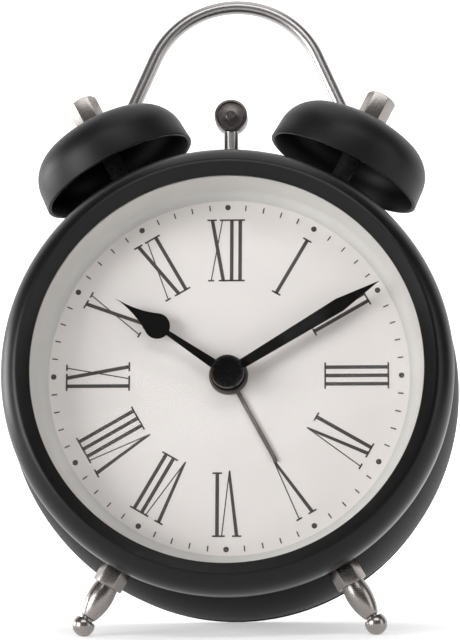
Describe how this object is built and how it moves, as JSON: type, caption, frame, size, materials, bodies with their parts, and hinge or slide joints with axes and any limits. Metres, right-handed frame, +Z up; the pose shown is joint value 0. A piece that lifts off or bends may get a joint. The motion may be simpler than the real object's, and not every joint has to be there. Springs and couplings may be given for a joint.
{
  "type": "alarm clock",
  "caption": "Round twin-bell alarm clock on ball feet, with a bezel and dial, hands, a hammer between the bells and a carrying handle.",
  "frame": {"origin": "on the floor under the middle of the clock's box, with the ball feet and the rear rim standing on the floor", "axes": "+X to the viewer's right when the dial is read, +Y from the dial to the back, +Z up"},
  "size_m": [0.1186, 0.0852, 0.1707],
  "materials": {
    "case_black": "matte powder coat",
    "bell_black": "matte powder coat",
    "post_black": "satin",
    "steel": "satin",
    "bright": "polished",
    "lens": "clear",
    "ring_white": "matte",
    "dial_white": "matte",
    "zinc": "satin",
    "hand_black": "satin",
    "alarm_grey": "satin",
    "brass": "satin",
    "movement_black": "matte",
    "gear_white": "satin",
    "cover_black": "matte",
    "knob_black": "satin",
    "switch_grey": "satin",
    "cell_wrap": "satin",
    "copper": "satin",
    "board_green": "satin"
  },
  "bodies": {
    "clock_case": {"case_drum": "case_black", "front_bezel": "case_black", "lens": "lens", "dial_ring": "ring_white", "dial": "dial_white", "dial_plate": "zinc", "dial_screws": "zinc", "left_foot": "steel", "right_foot": "steel", "foot_nuts": "zinc", "left_bell": "bell_black", "right_bell": "bell_black", "bell_posts": "post_black", "bell_nuts": "steel", "post_nuts": "zinc", "carry_handle": "steel", "handle_nuts": "steel", "movement_front": "movement_black", "movement_rear": "movement_black", "movement_plate": "gear_white", "drive_coil": "copper", "stator": "zinc", "circuit_board": "board_green", "quartz_crystal": "bright", "clock_chip": "movement_black", "rear_cover": "cover_black", "cover_tabs": "zinc", "cover_screws": "zinc", "battery": "cell_wrap", "battery_contact": "bright", "battery_spring": "bright", "alarm_switch_body": "movement_black", "ringer_bracket": "zinc", "lever_pivot_pin": "zinc", "ringer_pillars": "brass", "ringer_screws": "zinc", "ringer_motor": "zinc"},
    "minute_work": {"minute_hand": "hand_black", "hand_cap": "hand_black", "minute_arbor": "brass", "centre_wheel": "gear_white"},
    "hour_work": {"hour_hand": "hand_black", "hour_wheel": "gear_white"},
    "setting_work": {"minute_wheel": "gear_white", "time_knob": "knob_black"},
    "alarm_work": {"alarm_hand": "alarm_grey", "alarm_wheel": "gear_white"},
    "alarm_setting_work": {"alarm_setting_arbor": "gear_white", "alarm_knob": "knob_black"},
    "third_work": {"third_wheel": "gear_white"},
    "second_work": {"second_wheel": "gear_white"},
    "fifth_work": {"fifth_wheel": "gear_white"},
    "rotor_work": {"rotor": "gear_white"},
    "hammer": {"hammer_lever": "zinc", "hammer_rod": "steel", "hammer_head": "steel"},
    "crank": {"crank_wheel": "gear_white"},
    "motor_drive": {"motor_pinion": "brass"},
    "alarm_switch": {"alarm_switch_slider": "switch_grey"},
    "battery_cover": {"battery_door": "cover_black"}
  },
  "joints": [
    {"name": "minute_spin", "type": "hinge", "parent": "clock_case", "child": "minute_work", "pos_m": [0, -0.01721, 0.06533], "axis": [0, 0.9834, -0.1817], "continuous": true},
    {"name": "hour_spin", "type": "hinge", "parent": "clock_case", "child": "hour_work", "pos_m": [0, -0.01721, 0.06533], "axis": [0, 0.9834, -0.1817], "continuous": true},
    {"name": "time_setting_spin", "type": "hinge", "parent": "clock_case", "child": "setting_work", "pos_m": [0.01062, -0.01857, 0.05802], "axis": [0, 0.9834, -0.1817], "continuous": true},
    {"name": "third_spin", "type": "hinge", "parent": "clock_case", "child": "third_work", "pos_m": [0.01104, -0.01606, 0.0716], "axis": [0, 0.9834, -0.1817], "continuous": true},
    {"name": "second_spin", "type": "hinge", "parent": "clock_case", "child": "second_work", "pos_m": [0.00152, -0.01497, 0.07748], "axis": [0, 0.9834, -0.1817], "continuous": true},
    {"name": "fifth_spin", "type": "hinge", "parent": "clock_case", "child": "fifth_work", "pos_m": [-0.00607, -0.01521, 0.07617], "axis": [0, 0.9834, -0.1817], "continuous": true},
    {"name": "rotor_spin", "type": "hinge", "parent": "clock_case", "child": "rotor_work", "pos_m": [-0.01089, -0.01625, 0.07052], "axis": [0, 0.9834, -0.1817], "continuous": true},
    {"name": "alarm_spin", "type": "hinge", "parent": "clock_case", "child": "alarm_work", "pos_m": [0, -0.01721, 0.06533], "axis": [0, 0.9834, -0.1817], "continuous": true},
    {"name": "alarm_setting_spin", "type": "hinge", "parent": "clock_case", "child": "alarm_setting_work", "pos_m": [-0.01311, -0.01888, 0.0563], "axis": [0, 0.9834, -0.1817], "continuous": true},
    {"name": "hammer_swing", "type": "hinge", "parent": "clock_case", "child": "hammer", "pos_m": [0, -0.01231, 0.09188], "axis": [0, 0.9834, -0.1817], "range_deg": [-10.5, 10.5]},
    {"name": "crank_spin", "type": "hinge", "parent": "clock_case", "child": "crank", "pos_m": [0, -0.00976, 0.10565], "axis": [0, 0.9834, -0.1817], "continuous": true},
    {"name": "motor_spin", "type": "hinge", "parent": "clock_case", "child": "motor_drive", "pos_m": [0.0125, -0.00976, 0.10565], "axis": [0, 0.9834, -0.1817], "continuous": true},
    {"name": "alarm_switch_slide", "type": "slide", "parent": "clock_case", "child": "alarm_switch", "axis": [0, 0.1817, 0.9834], "range_m": [0, 0.004]},
    {"name": "battery_door_slide", "type": "slide", "parent": "clock_case", "child": "battery_cover", "axis": [0, 0.9834, -0.1817], "range_m": [0, 0.02]}
  ],
  "couplings": [
    {"joint": "hour_spin", "follows": "minute_spin", "ratio": 0.083333},
    {"joint": "time_setting_spin", "follows": "minute_spin", "ratio": -0.33333},
    {"joint": "third_spin", "follows": "minute_spin", "ratio": -7.5},
    {"joint": "second_spin", "follows": "minute_spin", "ratio": 60},
    {"joint": "fifth_spin", "follows": "minute_spin", "ratio": -360},
    {"joint": "rotor_spin", "follows": "minute_spin", "ratio": 1800},
    {"joint": "alarm_setting_spin", "follows": "alarm_spin", "ratio": -3},
    {"joint": "motor_spin", "follows": "crank_spin", "ratio": -4}
  ]
}
